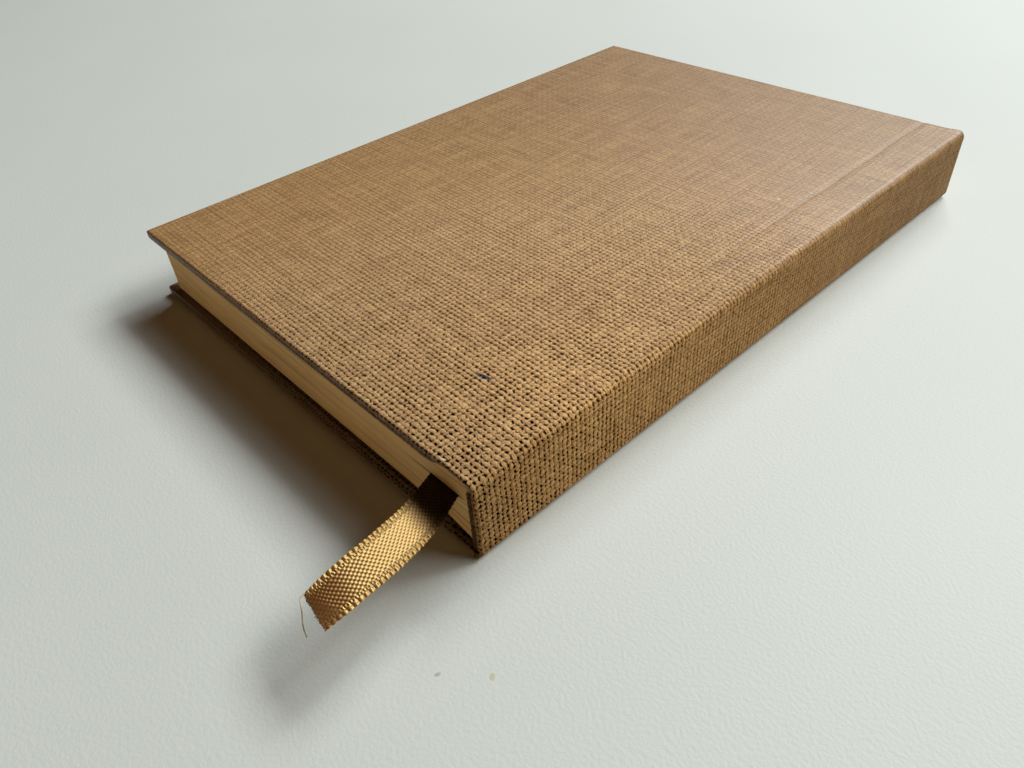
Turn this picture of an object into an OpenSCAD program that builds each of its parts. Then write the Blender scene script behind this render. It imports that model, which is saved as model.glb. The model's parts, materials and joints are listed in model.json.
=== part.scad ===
// Cloth-covered pocket journal with hard covers, a flat spine and a ribbon marker.
// It lies closed on its front cover, with the spine towards +X and the head towards +Y.
// The origin is the middle of the closed book's lower face, and +Z points up.

/* [Closed book] */
// Width, from the fore edge of the covers to the outside of the spine
case_w = 106; // [90:1:150]
// Height, from the tail of the covers to their head
case_l = 150; // [120:1:220]
// Thickness over both covers
case_t = 16; // [13:0.5:30]

/* [Covers] */
// Thickness of the grey board in each cover
board_t = 1.2; // [0.8:0.1:2]
// Thickness of the grey board in the spine
spine_board_t = 1.2; // [0.8:0.1:2]
// Thickness of the book cloth
cloth_t = 0.42; // [0.36:0.02:0.6]
// Width of the cloth that is turned in over the boards
turn_in = 15; // [8:1:25]
// Distance from the outside of the spine to the edge of each cover board
joint_w = 10.3; // [8:0.1:14]
// Radius of the cloth round the outer edges of the covers
edge_round = 0.5; // [0.3:0.05:0.8]
// Radius of the cloth round the two long edges of the spine
spine_round = 1.5; // [1.2:0.1:2.5]
// Gap in the cloth along the line where each cover turns
hinge_gap = 0.3; // [0.2:0.05:0.5]

/* [Weave] */
// Distance from one row of thread to the next
thread_pitch = 0.97; // [0.9:0.01:2]
// Width of the valley between two rows
valley_w = 0.36; // [0.2:0.02:0.5]
// Depth of the valley between two rows
valley_d = 0.16; // [0.08:0.01:0.2]

/* [Pages] */
// Overhang of the covers past the pages at the head and the tail
square_ends = 1.5; // [1:0.1:4]
// Overhang of the covers past the pages at the fore edge
square_fore = 3.2; // [2:0.1:5]
// Thickness of one sheet of endpaper
paper_t = 0.12; // [0.08:0.01:0.2]
// Play between each closed cover and the pages
cover_play = 0.1; // [0.06:0.02:0.3]
// Thickness of the glued lining on the back of the pages
lining_t = 0.8; // [0.6:0.1:1.2]
// Hollow between the lining and the cloth inside the spine
hollow = 0.5; // [0.3:0.1:2]
// Length of the fold that ties each flyleaf to its paper strip in the joint
fold_l = 0.5; // [0.3:0.1:1]

/* [Ribbon] */
// Width of the ribbon
ribbon_w = 6.6; // [4:0.2:8]
// Thickness of the ribbon
ribbon_t = 0.3; // [0.2:0.05:0.4]
// Room round the ribbon where it lies between the pages
ribbon_room = 0.06; // [0.04:0.01:0.12]
// Distance from the outside of the spine to the middle of the ribbon
ribbon_in = 9; // [8.5:0.5:40]
// Height of the ribbon above the middle of the pages
ribbon_up = 0.8; // [-3:0.1:3]
// Width of the wedge that the ribbon holds open towards the fore edge
ribbon_wedge = 7; // [3:0.5:12]
// Distance from the head of the pages to the glued end of the ribbon
ribbon_end = 6; // [3:1:20]

/* [Hidden] */
$fn = 48;

// Room to spare where one shape is cut from another
over = 1;
half_l = case_l / 2;
spine_x = case_w / 2;
fore_x = -case_w / 2;

// Layers of a cover, measured down from its outer face
inner_cloth_d = cloth_t + board_t;
cover_d = inner_cloth_d + cloth_t;
pastedown_d = cover_d + paper_t;
flyleaf_d = pastedown_d + cover_play;
pages_d = flyleaf_d + paper_t;

// Layers of the joint, where there is no board
joint_d = 2 * cloth_t;
strip_d = joint_d + paper_t;
swell_d = strip_d + paper_t;

// Places across the book
board_x = spine_x - joint_w;
cover_x = board_x + cloth_t;
strip_x = cover_x + hinge_gap;
window_x = fore_x + turn_in;
spine_in_x = spine_x - cloth_t - spine_board_t;
spine_turn_x = spine_in_x - cloth_t;
lining_x = spine_turn_x - hollow;
page_spine_x = lining_x - lining_t;
page_fore_x = fore_x + square_fore;

// Places along the book
page_y = half_l - square_ends;
window_y = half_l - turn_in;
board_y = half_l - cloth_t;

cloth_colour = "#a8875f";
board_colour = "#8c8578";
paper_colour = "#e3d3ac";
lining_colour = "#d8cdb4";
ribbon_colour = "#a9682a";

// The ribbon's height in the pages and where its middle leaves them
ribbon_z = case_t / 2 + ribbon_up;
ribbon_x = spine_x - ribbon_in;

// How the ribbon's tail end bows out of the pages: the move of its middle in X, in Y and in Z
// from where it leaves them, and its tilt in degrees
RIBBON_TAIL = [
    [0, 0, 0, 0],
    [1.5, -2.6, 0.8, 3],
    [3.0, -5.2, 1.6, 6.5],
    [4.2, -7.8, 2.2, 9.5],
    [5.1, -10.5, 2.7, 12],
    [5.7, -13.1, 3.0, 13.5],
    [6.1, -15.7, 3.1, 14],
    [6.2, -18.3, 3.0, 13],
    [6.2, -20.9, 2.6, 10.5],
    [6.0, -23.5, 1.9, 6.5],
    [5.7, -26.1, 1.1, 0]
];

// The rings along the flat stretch between the pages
flat_rings = 8;
flat_l = 2 * page_y - ribbon_end;
RIBBON = concat(
    [for (i = [0 : flat_rings - 1]) [ribbon_x, page_y - ribbon_end - i * flat_l / flat_rings, ribbon_z, 0]],
    [for (p = RIBBON_TAIL) [ribbon_x + p[0], p[1] - page_y, ribbon_z + p[2], p[3]]]
);

// Turns a piece of the back cover, on top, over to the front cover, below
module turned_over() {
    translate([0, 0, case_t]) mirror([0, 0, 1]) children();
}

// A flat outline with round corners, from its low corner to its high corner
module round_outline(low, high, r) {
    translate([low[0] + r, low[1]]) square([high[0] - low[0] - 2 * r, high[1] - low[1]]);
    translate([low[0], low[1] + r]) square([high[0] - low[0], high[1] - low[1] - 2 * r]);
    for (x = [low[0] + r, high[0] - r], y = [low[1] + r, high[1] - r]) {
        translate([x, y]) circle(r);
    }
}

// Extrudes an outline drawn in X and Z along the height of the book, from y_low to y_high
module along_book(y_low, y_high) {
    translate([0, y_high, 0]) rotate([90, 0, 0]) linear_extrude(y_high - y_low) children();
}

// Extrudes an outline drawn in Y and Z across the book, from x_low to x_high
module across_book(x_low, x_high) {
    translate([x_low, 0, 0]) rotate([90, 0, 90]) linear_extrude(x_high - x_low) children();
}

// The outline of a comb, whose teeth cut the valleys between the rows of thread below the line 0
module comb_outline() {
    rows = floor((half_l - edge_round) / thread_pitch - 1 / 2);
    slope = valley_w / 2 / valley_d;
    half_w = slope * (valley_d + over / 10);
    polygon(concat(
        [[-half_l - over, over], [-half_l - over, over / 10]],
        [for (i = [-rows - 1 : rows], j = [-1 : 1])
            [(i + 1 / 2) * thread_pitch + j * half_w, j == 0 ? -valley_d : over / 10]],
        [[half_l + over, over / 10], [half_l + over, over]]
    ));
}

// The comb laid on a face that looks up
module comb(x_low, x_high, z) {
    across_book(x_low, x_high) translate([0, z]) comb_outline();
}

// Cloth over the back cover: its outer face, its three edges and the margin turned in below the board
module cover_cloth() {
    low_z = case_t - cover_d;
    difference() {
        intersection() {
            along_book(-half_l, half_l) difference() {
                round_outline([fore_x, low_z], [cover_x + over, case_t], edge_round);
                translate([cover_x, low_z - over]) square([2 * over, cover_d + 2 * over]);
            }
            across_book(fore_x - over, cover_x + over)
                round_outline([-half_l, low_z], [half_l, case_t], edge_round);
        }
        translate([fore_x + cloth_t, -board_y, case_t - inner_cloth_d])
            cube([board_x - fore_x - cloth_t, 2 * board_y, board_t]);
        translate([window_x, -window_y, low_z - over])
            cube([cover_x + over - window_x, 2 * window_y, cover_d + over - cloth_t]);
        comb(fore_x + edge_round, cover_x + over, case_t);
    }
}

// Grey board inside the back cover
module cover_board() {
    translate([fore_x + cloth_t, -board_y, case_t - inner_cloth_d])
        cube([board_x - fore_x - cloth_t, 2 * board_y, board_t]);
}

// Endpaper glued inside the back cover, which dips between the turned-in margins
module pastedown() {
    low_z = case_t - pastedown_d;
    difference() {
        union() {
            translate([page_fore_x, -page_y, low_z])
                cube([board_x - page_fore_x, 2 * page_y, paper_t]);
            translate([window_x, -window_y, low_z])
                cube([board_x - window_x, 2 * window_y, pastedown_d - inner_cloth_d]);
        }
        translate([window_x + paper_t, paper_t - window_y, low_z - over])
            cube([board_x + over - window_x, 2 * (window_y - paper_t), over + cloth_t]);
    }
}

// Loose endpaper on the pages, folded at the spine into a strip that is glued to the joint
module flyleaf() {
    slope = (pages_d - swell_d) / (page_spine_x - strip_x);
    along_book(-page_y, page_y) polygon([
        [page_fore_x, case_t - pages_d],
        [strip_x, case_t - pages_d],
        [page_spine_x, case_t - swell_d],
        [page_spine_x, case_t - joint_d],
        [strip_x, case_t - joint_d],
        [strip_x, case_t - strip_d],
        [page_spine_x - fold_l, case_t - strip_d],
        [page_spine_x - fold_l, case_t - strip_d - slope * fold_l],
        [strip_x, case_t - flyleaf_d],
        [page_fore_x, case_t - flyleaf_d]
    ]);
}

module back_board() {
    color(board_colour) cover_board();
}

module front_board() {
    color(board_colour) turned_over() cover_board();
}

module spine_board() {
    color(board_colour) translate([spine_in_x, -board_y, spine_round])
        cube([spine_board_t, 2 * board_y, case_t - 2 * spine_round]);
}

module back_cloth() {
    color(cloth_colour) cover_cloth();
}

module front_cloth() {
    color(cloth_colour) turned_over() cover_cloth();
}

// Cloth over the spine and both joints, doubled by the margin turned in at the head and the tail
module spine_cloth() {
    color(cloth_colour) difference() {
        intersection() {
            along_book(-half_l, half_l)
                round_outline([strip_x - 2 * spine_round, 0], [spine_x, case_t], spine_round);
            across_book(strip_x, spine_x + over)
                round_outline([-half_l, 0], [half_l, case_t], edge_round);
            linear_extrude(case_t)
                round_outline([strip_x - over, -half_l], [spine_x, half_l], edge_round);
        }
        along_book(-half_l - over, half_l + over) translate([strip_x - over, joint_d])
            square([spine_turn_x - strip_x + over, case_t - 2 * joint_d]);
        along_book(-window_y, window_y)
            round_outline([strip_x - 2 * spine_round, cloth_t], [spine_x - cloth_t, case_t - cloth_t],
                          spine_round - cloth_t);
        translate([spine_in_x, -board_y, spine_round])
            cube([spine_board_t, 2 * board_y, case_t - 2 * spine_round]);
        comb(strip_x - over, spine_x, case_t);
        turned_over() comb(strip_x - over, spine_x, case_t);
        translate([0, 0, case_t + over]) rotate([0, 90, 0]) comb(0, case_t + 2 * over, spine_x);
    }
}

module back_pastedown() {
    color(paper_colour) pastedown();
}

module front_pastedown() {
    color(paper_colour) turned_over() pastedown();
}

module back_flyleaf() {
    color(paper_colour) flyleaf();
}

module front_flyleaf() {
    color(paper_colour) turned_over() flyleaf();
}

// The sewn and glued pages, swollen where there are no boards, and parted by the ribbon
module pages() {
    half_w = ribbon_w / 2 + ribbon_room;
    half_t = ribbon_t / 2 + ribbon_room;
    color(paper_colour) difference() {
        along_book(-page_y, page_y) polygon([
            [page_fore_x, pages_d],
            [strip_x, pages_d],
            [page_spine_x, swell_d],
            [page_spine_x, case_t - swell_d],
            [strip_x, case_t - pages_d],
            [page_fore_x, case_t - pages_d]
        ]);
        along_book(-page_y - over, page_y - ribbon_end + ribbon_room) polygon([
            [ribbon_x - half_w - ribbon_wedge, ribbon_z],
            [ribbon_x - half_w, ribbon_z - half_t],
            [ribbon_x + half_w, ribbon_z - half_t],
            [ribbon_x + half_w, ribbon_z + half_t],
            [ribbon_x - half_w, ribbon_z + half_t]
        ]);
    }
}

// Lining glued to the back of the pages, with a flap that ties it to the cloth of each joint
module spine_lining() {
    color(lining_colour) along_book(-window_y, window_y) difference() {
        translate([strip_x, cloth_t]) square([lining_x - strip_x, case_t - 2 * cloth_t]);
        translate([strip_x - over, joint_d])
            square([page_spine_x - strip_x + over, case_t - 2 * joint_d]);
    }
}

// One ring of the ribbon's flat section at a point [x, y, z, tilt] of its route
function ribbon_ring(p, back) = [
    for (side = [[-1, -1], [1, -1], [1, 1], [-1, 1]])
        let (w = side[0] * ribbon_w / 2, t = side[1] * ribbon_t / 2)
        [p[0] + w * cos(p[3]) + t * sin(p[3]), p[1] + t * back, p[2] - w * sin(p[3]) + t * cos(p[3])]
];

// Rise of the route at its point i, which leans the section back against the ribbon's way
function rise(i) =
    let (a = RIBBON[max(i - 1, 0)], b = RIBBON[min(i + 1, len(RIBBON) - 1)])
    (b[2] - a[2]) / (a[1] - b[1]);

module ribbon() {
    rings = len(RIBBON);
    color(ribbon_colour) polyhedron(
        points = [for (i = [0 : rings - 1]) each ribbon_ring(RIBBON[i], rise(i))],
        faces = concat(
            [[0, 1, 2, 3]],
            [for (i = [0 : rings - 2], j = [0 : 3])
                let (k = (j + 1) % 4)
                each [[4 * i + j, 4 * i + 4 + j, 4 * i + 4 + k], [4 * i + j, 4 * i + 4 + k, 4 * i + k]]],
            [[for (j = [3 : -1 : 0]) 4 * rings - 4 + j]]
        )
    );
}

back_board();
front_board();
spine_board();
back_cloth();
front_cloth();
spine_cloth();
back_pastedown();
front_pastedown();
back_flyleaf();
front_flyleaf();
pages();
spine_lining();
ribbon();
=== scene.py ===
# %% [markdown]
# A cloth-covered pocket journal. The real book is a block of sewn pages in a case. The case is three
# grey boards, glued side by side on one piece of coarse book cloth whose margins are turned in. Here
# its look is built round a frame of plain solids, which gives every size and place. Lengths are worked
# out in millimetres and go into the meshes in metres.

import json
import math

import bpy
import numpy as np
from mathutils import Matrix, Vector


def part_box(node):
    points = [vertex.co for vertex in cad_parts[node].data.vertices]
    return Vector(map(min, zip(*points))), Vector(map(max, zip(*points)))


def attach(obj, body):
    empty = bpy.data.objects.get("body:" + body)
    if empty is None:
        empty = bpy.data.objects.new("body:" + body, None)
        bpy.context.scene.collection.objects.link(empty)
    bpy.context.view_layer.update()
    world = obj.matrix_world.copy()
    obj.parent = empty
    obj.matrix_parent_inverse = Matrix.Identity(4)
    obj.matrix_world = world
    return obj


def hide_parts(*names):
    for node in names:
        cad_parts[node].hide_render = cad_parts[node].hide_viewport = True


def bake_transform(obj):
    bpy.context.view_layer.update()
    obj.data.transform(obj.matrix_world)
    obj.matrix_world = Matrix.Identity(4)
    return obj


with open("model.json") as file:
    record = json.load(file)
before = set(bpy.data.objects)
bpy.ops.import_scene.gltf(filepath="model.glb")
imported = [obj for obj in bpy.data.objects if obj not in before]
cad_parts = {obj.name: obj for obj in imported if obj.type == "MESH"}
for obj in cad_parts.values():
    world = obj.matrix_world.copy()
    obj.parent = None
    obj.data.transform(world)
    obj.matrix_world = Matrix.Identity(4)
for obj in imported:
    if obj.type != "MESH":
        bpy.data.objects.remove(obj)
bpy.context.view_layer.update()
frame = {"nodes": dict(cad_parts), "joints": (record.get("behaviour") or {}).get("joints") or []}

MM = 0.001


def box_mm(node):
    """The lowest and the highest corner of a solid of the frame, in millimetres."""
    return [np.array(corner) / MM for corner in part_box(node)]


def ease(x):
    """A smooth step from 0 to 1."""
    x = np.clip(x, 0, 1)
    return x * x * (3 - 2 * x)


cloth_low, cloth_high = box_mm("back_cloth")
spine_low, spine_high = box_mm("spine_cloth")
board_low, board_high = box_mm("back_board")
page_low, page_high = box_mm("pages")
case_t = spine_high[2]
spine_x = spine_high[0]
fore_x = cloth_low[0]
half_l = spine_high[1]
print("case", spine_x - fore_x, 2 * half_l, case_t, "mm")

# %% [markdown]
# The camera stands low at the tail corner of the spine, close to the book, with a wide phone lens. Its
# place and its three turns were worked out from the six corners of the case that show.

# %% The camera
CAMERA_PLACE = Vector((111.11, -115.89, 93.52)) * MM
CAMERA_TURN = math.radians(49.665)
CAMERA_DIP = math.radians(40.218)
CAMERA_ROLL = math.radians(-4.507)
CAMERA_LENS = 27.465

bpy.ops.object.camera_add(location=CAMERA_PLACE)
camera = bpy.context.object
aim = Matrix.Rotation(CAMERA_TURN, 4, "Z") @ Matrix.Rotation(math.pi / 2 - CAMERA_DIP, 4, "X")
camera.matrix_world = Matrix.Translation(CAMERA_PLACE) @ aim @ Matrix.Rotation(CAMERA_ROLL, 4, "Z")
camera.data.lens = CAMERA_LENS
camera.data.sensor_width = 36
camera.data.clip_start = 0.005
camera.data.clip_end = 30
bpy.context.scene.camera = camera
bpy.context.scene.view_settings.view_transform = "Standard"
print("camera at", [round(x, 4) for x in camera.location], "m")

# %% [markdown]
# The ribbon marker is a narrow satin tape. Most of it lies flat between the pages, and a short end
# bows out at the tail. A curve with a flat section could follow it, but its woven edges have ribs that
# a curve can't carry, so its surface is laid out point by point along the middle line. The route is
# the one that the ribbon's solid follows.

# %% The ribbon's route
RIBBON_W = 6.6
RIBBON_T = 0.3
RIBBON_PLACE = np.array([44.0, page_low[1], 8.8])
RIBBON_TOP_Y = 67.5
# Where the middle of the tail end goes from the edge of the pages: X, Y, Z, and its tilt in degrees
RIBBON_TAIL = [
    [0, 0, 0, 0],
    [1.14, -2.38, 0.35, 3],
    [2.36, -4.83, 0.76, 6.5],
    [3.38, -7.35, 1.13, 9.5],
    [4.23, -10.05, 1.55, 12],
    [4.89, -12.71, 1.92, 13.5],
    [5.44, -15.41, 2.22, 14],
    [5.77, -18.13, 2.42, 13],
    [6.04, -20.84, 2.39, 10.5],
    [6, -23.5, 1.9, 6.5],
    [5.7, -26.1, 1.1, 0],
]
FLAT_STEP = 4.0
TAIL_STEP = 0.075


def smooth_route(points, step):
    """Points about a step apart on the smooth curve through the given points, which may have a tilt."""
    points = np.array(points, float)
    ends = [2 * points[0] - points[1]], [2 * points[-1] - points[-2]]
    padded = np.concatenate([ends[0], points, ends[1]])
    route = []
    for a, b, c, d in zip(padded, padded[1:], padded[2:], padded[3:]):
        count = max(1, round(float(np.linalg.norm((c - b)[:3])) / step))
        for t in np.arange(count) / count:
            bend = 2 * a - 5 * b + 4 * c - d
            twist = 3 * b - a - 3 * c + d
            route.append(b + (t * (c - a) + t**2 * bend + t**3 * twist) / 2)
    return np.array(route + [points[-1]])


tail_points = [[*(RIBBON_PLACE + p[:3]), p[3]] for p in RIBBON_TAIL]
flat_count = round((RIBBON_TOP_Y - RIBBON_PLACE[1]) / FLAT_STEP)
flat_y = np.linspace(RIBBON_TOP_Y, RIBBON_PLACE[1], flat_count, endpoint=False)
flat_route = np.array([[RIBBON_PLACE[0], y, RIBBON_PLACE[2], 0] for y in flat_y])
ribbon_route = np.concatenate([flat_route, smooth_route(tail_points, TAIL_STEP)])
ribbon_steps = np.linalg.norm(np.diff(ribbon_route[:, :3], axis=0), axis=1)
ribbon_along = np.concatenate([[0], np.cumsum(ribbon_steps)])
print("ribbon", round(ribbon_along[-1], 1), "mm long, in", len(ribbon_route), "rings")

# %% [markdown]
# Each ring of the tape's surface is a flat loop: a smooth field in the middle, then a narrow band of
# small loops and a row of beads at each side. On the real tape the crossing thread turns back round
# the outermost lengthwise threads, which makes one bead at each turn. The beads follow a cosine along
# the tape. The tape was cut a little askew, so its left side is shorter.

# %% The ribbon's surface
BEAD_W = 0.75
BEAD_PITCH = 0.87
BEAD_RISE = 0.09
LOOPS_W = 0.45
TOOTH = 0.13
TOOTH_W = 0.45
FIELD_DROP = 0.06
BEAD_DROP = 0.04
LOOP_RISE = 0.04
CUT_SLANT = 0.95
CUT_REACH = 4


def ribbon_section():
    """The places across the tape, from one side to the other, close together at the woven edges."""
    beads = RIBBON_W / 2 - BEAD_W * np.linspace(0, 1, 8) ** 1.2
    loops = beads[-1] - LOOPS_W * np.linspace(0, 1, 5)[1:]
    field = np.linspace(loops[-1], 0, 6)[1:]
    half = np.concatenate([beads, loops, field])
    return np.concatenate([-half, half[-2::-1]])


def ribbon_ring(point, along, ahead, across):
    """The loop of one ring: its upper side from left to right, then its lower side back."""
    tilt = math.radians(point[3])
    side = np.array([math.cos(tilt), 0, -math.sin(tilt)])
    up = np.cross(side, ahead)
    up /= np.linalg.norm(up)
    inward = RIBBON_W / 2 - np.abs(across)
    on_bead = np.sin(math.pi * np.clip(inward / BEAD_W, 0, 1))
    on_loops = np.sin(math.pi * np.clip((inward - BEAD_W) / LOOPS_W, 0, 1))
    bead = (0.5 + 0.5 * math.cos(2 * math.pi * along / BEAD_PITCH)) ** 0.6
    loop = 0.5 + 0.5 * math.cos(4 * math.pi * along / BEAD_PITCH)
    half_t = RIBBON_T / 2 - FIELD_DROP + on_bead * (BEAD_RISE * bead - BEAD_DROP)
    half_t = half_t + LOOP_RISE * on_loops * loop
    half_t = np.where(inward < 1e-6, RIBBON_T / 6, half_t)
    reach = across - np.sign(across) * TOOTH * (1 - bead) * np.clip(1 - inward / TOOTH_W, 0, 1)
    near_cut = ease((along - ribbon_along[-1] + CUT_REACH) / CUT_REACH)
    short = CUT_SLANT * near_cut * (0.5 - across / RIBBON_W)
    middle = point[:3] + np.outer(reach, side) - np.outer(short, ahead)
    lift = np.outer(half_t, up)
    return np.concatenate([middle + lift, (middle - lift)[::-1]])


def make_mesh(name, points, faces, uv=None):
    """A mesh object at the origin from points in millimetres, with a UV pair for each face corner."""
    mesh = bpy.data.meshes.new(name)
    mesh.from_pydata((np.array(points) * MM).tolist(), [], faces)
    if uv is not None:
        layer = mesh.uv_layers.new(name="UVMap")
        layer.data.foreach_set("uv", np.array(uv, np.float32).ravel())
    piece = bpy.data.objects.new(name, mesh)
    bpy.context.scene.collection.objects.link(piece)
    return piece


def get_points(mesh):
    """The places of a mesh's points, in the mesh's own units."""
    flat = np.zeros(len(mesh.vertices) * 3, np.float32)
    mesh.vertices.foreach_get("co", flat)
    return flat.reshape(-1, 3)


def put_points(mesh, place):
    """Moves a mesh's points to places given in millimetres."""
    mesh.vertices.foreach_set("co", (place * MM).astype(np.float32).ravel())
    mesh.update()


def corner_points(mesh):
    """The number of the point at each face corner."""
    numbers = np.zeros(len(mesh.loops), int)
    mesh.loops.foreach_get("vertex_index", numbers)
    return numbers


def new_grid(name, x_steps, y_steps):
    """A flat grid, and the column and the row that each of its points is in."""
    bpy.ops.object.select_all(action="DESELECT")
    bpy.ops.mesh.primitive_grid_add(x_subdivisions=x_steps, y_subdivisions=y_steps, size=2)
    piece = bpy.context.object
    piece.name = piece.data.name = name
    share = (get_points(piece.data).astype(float) + 1) / 2
    column = np.round(share[:, 0] * x_steps).astype(int)
    row = np.round(share[:, 1] * y_steps).astype(int)
    return piece, column, row


def select_only(piece):
    """Makes one object the only one that an operator acts on."""
    bpy.ops.object.select_all(action="DESELECT")
    piece.select_set(True)
    bpy.context.view_layer.objects.active = piece


def in_edit_mode(piece, *steps):
    """Runs mesh operators on the whole of one piece."""
    select_only(piece)
    bpy.ops.object.mode_set(mode="EDIT")
    bpy.ops.mesh.select_all(action="SELECT")
    for step in steps:
        step()
    bpy.ops.object.mode_set(mode="OBJECT")


def shade_smooth(piece, angle=180):
    """Smooth shading, with a hard edge where faces meet at more than an angle in degrees."""
    select_only(piece)
    bpy.ops.object.shade_smooth_by_angle(angle=math.radians(angle))


def make_ribbon():
    """The ribbon's surface: its rings joined by faces, with a cap at each end."""
    across = ribbon_section()
    slopes = np.gradient(ribbon_route[:, :3], axis=0)
    rings = [
        ribbon_ring(point, along, ahead / np.linalg.norm(ahead), across)
        for point, along, ahead in zip(ribbon_route, ribbon_along, slopes)
    ]
    loop = len(rings[0])
    around = np.concatenate([across, across[::-1]])
    faces, uv = [], []
    for i in range(len(rings) - 1):
        for j in range(loop):
            k = (j + 1) % loop
            faces.append([i * loop + j, (i + 1) * loop + j, (i + 1) * loop + k, i * loop + k])
            for ring, place in ((i, j), (i + 1, j), (i + 1, k), (i, k)):
                uv.append([around[place], ribbon_along[ring]])
    for ring in (0, len(rings) - 1):
        cap = list(range(ring * loop, (ring + 1) * loop))
        faces.append(cap if ring == 0 else cap[::-1])
        uv += [[around[c - ring * loop], ribbon_along[ring]] for c in faces[-1]]
    return make_mesh("ribbon_marker", np.concatenate(rings), faces, uv)


ribbon = make_ribbon()
in_edit_mode(ribbon, bpy.ops.mesh.normals_make_consistent)
shade_smooth(ribbon)
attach(ribbon, "book_block")
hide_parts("ribbon")
print(ribbon.name, "has", len(ribbon.data.polygons), "faces")

# %% [markdown]
# The cut end of the tape has begun to fray: the lengthwise threads stick out of it by a hair, and one
# pale thread has come loose and hangs from its left corner. Each is a thin tube along a few points.
# The short ends together are one piece, the loose thread is another, and both go with the ribbon.

# %% The frayed end
FRAY_STEP = 0.17
LOOSE_THREAD = [
    [0.1, 0.5, 0.1],
    [0.0, -0.3, 0.0],
    [0.1, -0.65, -0.3],
    [0.5, -1.0, -0.9],
    [1.15, -1.4, -1.6],
    [1.65, -1.85, -2.3],
    [2.3, -2.2, -3.0],
    [3.1, -2.45, -3.6],
]


def thread_tube(line, radius, sides=5):
    """Points and faces of a thin tube along a line."""
    line = np.array(line, float)
    ahead = np.gradient(line, axis=0)
    ahead /= np.linalg.norm(ahead, axis=1)[:, None]
    side = np.cross(ahead, [0.3, 0.2, 1.0])
    side /= np.linalg.norm(side, axis=1)[:, None]
    up = np.cross(side, ahead)
    turn = np.arange(sides) * 2 * math.pi / sides
    rings = [
        p + radius * (np.outer(np.cos(turn), s) + np.outer(np.sin(turn), u))
        for p, s, u in zip(line, side, up)
    ]
    faces = []
    for i in range(len(line) - 1):
        for j in range(sides):
            k = (j + 1) % sides
            faces.append([i * sides + j, i * sides + k, (i + 1) * sides + k, (i + 1) * sides + j])
    faces.append(list(range(sides))[::-1])
    faces.append([(len(line) - 1) * sides + j for j in range(sides)])
    return np.concatenate(rings), faces


ribbon_end = ribbon_route[-1, :3]
ribbon_ahead = ribbon_end - ribbon_route[-8, :3]
ribbon_ahead /= np.linalg.norm(ribbon_ahead)


def cut_place(across):
    """Where the cut end of the tape lies at a place across it."""
    return ribbon_end + [across, 0, 0] - CUT_SLANT * (0.5 - across / RIBBON_W) * ribbon_ahead


def make_threads(name, lines, radius):
    """One piece of thin tubes, one along each line."""
    points, faces = [], []
    for line in lines:
        tube_points, tube_faces = thread_tube(line, radius)
        faces += [[len(points) + i for i in face] for face in tube_faces]
        points += tube_points.tolist()
    piece = make_mesh(name, points, faces)
    in_edit_mode(piece, bpy.ops.mesh.normals_make_consistent)
    shade_smooth(piece)
    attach(piece, "book_block")
    return piece


def short_ends():
    """Lines of the threads that stick out of the cut."""
    rng = np.random.default_rng(5)
    lines = []
    for across in np.arange(-RIBBON_W / 2 + 0.1, RIBBON_W / 2, FRAY_STEP):
        start = cut_place(across) - 0.2 * ribbon_ahead
        reach = 0.24 + 0.16 * rng.random() ** 2
        drift = rng.normal(0, 0.05, 3)
        lines.append([start + ribbon_ahead * reach * t + drift * t**2 for t in (0, 0.4, 0.7, 1)])
    return lines


fray = make_threads("ribbon_fray", short_ends(), 0.06)
left_corner = cut_place(0.15 - RIBBON_W / 2)
loose_route = smooth_route([left_corner + p for p in LOOSE_THREAD], 0.2)
loose_thread = make_threads("loose_thread", [loose_route], 0.09)
print(fray.name, "has", len(fray.data.polygons), "faces")

# %% [markdown]
# The case cloth is one coarse, plain-woven sheet. It is made as the binder makes it: a flat sheet is
# cut, its corners are taken off, and its margins are folded over the edges of the boards. The sheet
# starts as a grid with two columns and two rows to each thread, so that the crests, the valleys and the
# holes of the weave are real relief. It is cut in two along the lower edge of the spine, out of sight.

# %% The sizes of the cloth
CLOTH_T = case_t - board_high[2]
COVER_D = case_t - cloth_low[2]
EDGE_R = 0.5
SPINE_R = 1.5
TURN_IN = 15.0
THREAD = 0.966
FLAP_FINE = 12
FLAP_COARSE = (8.6, 12.6)
JOINT_DENT = 0.12
# The thick folded lip where the edge of the joint runs into the spine
LIP_PLACE = 0.4
LIP_RISE = 0.35
LIP_W = 0.7
LIP_L = 1.6
JOINT_SLOPE = 4.0
JOINT_DENT_W = 0.7
# How soon the cloth reaches its full depth at the spine's edges
SPINE_STEP = 0.9
# The share of an edge's reach that the cloth keeps at a board's corner
CORNER_REACH = 0.8
NEAR = 1e-6
# The weave is most open near this place, in threads, and starch closes it over this many threads
OPEN_PLACE = (112, -80)
OPEN_REACH = 105
OPEN_MOST, OPEN_LEAST = 1.3, 0.08
joint_d = 2 * CLOTH_T
board_x = board_high[0]
hinge_x = frame["joints"][0]["pos_m"][0] / MM

face_l = half_l - EDGE_R
rows_half = round(face_l / (THREAD / 2))
row_step = face_l / rows_half
fore_start = fore_x + EDGE_R
top_len = spine_x - SPINE_R - fore_start
corner_len = SPINE_R * math.pi / 2
spine_len = case_t - 2 * SPINE_R
edge_len = EDGE_R * math.pi + COVER_D - 2 * EDGE_R
flap_end = edge_len + TURN_IN - EDGE_R
FLAP = [*(row_step * np.arange(1, FLAP_FINE + 1)), *FLAP_COARSE, flap_end]
print("threads", round(2 * row_step, 3), "mm apart; margin", round(flap_end, 2), "mm")


# %% [markdown]
# Four small functions know how the sheet lies. The first walks round the outside of the case. The next
# two say where the board ends and how thick the case is there, with the board or without it. The last
# walks round an edge and back under it.

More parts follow.
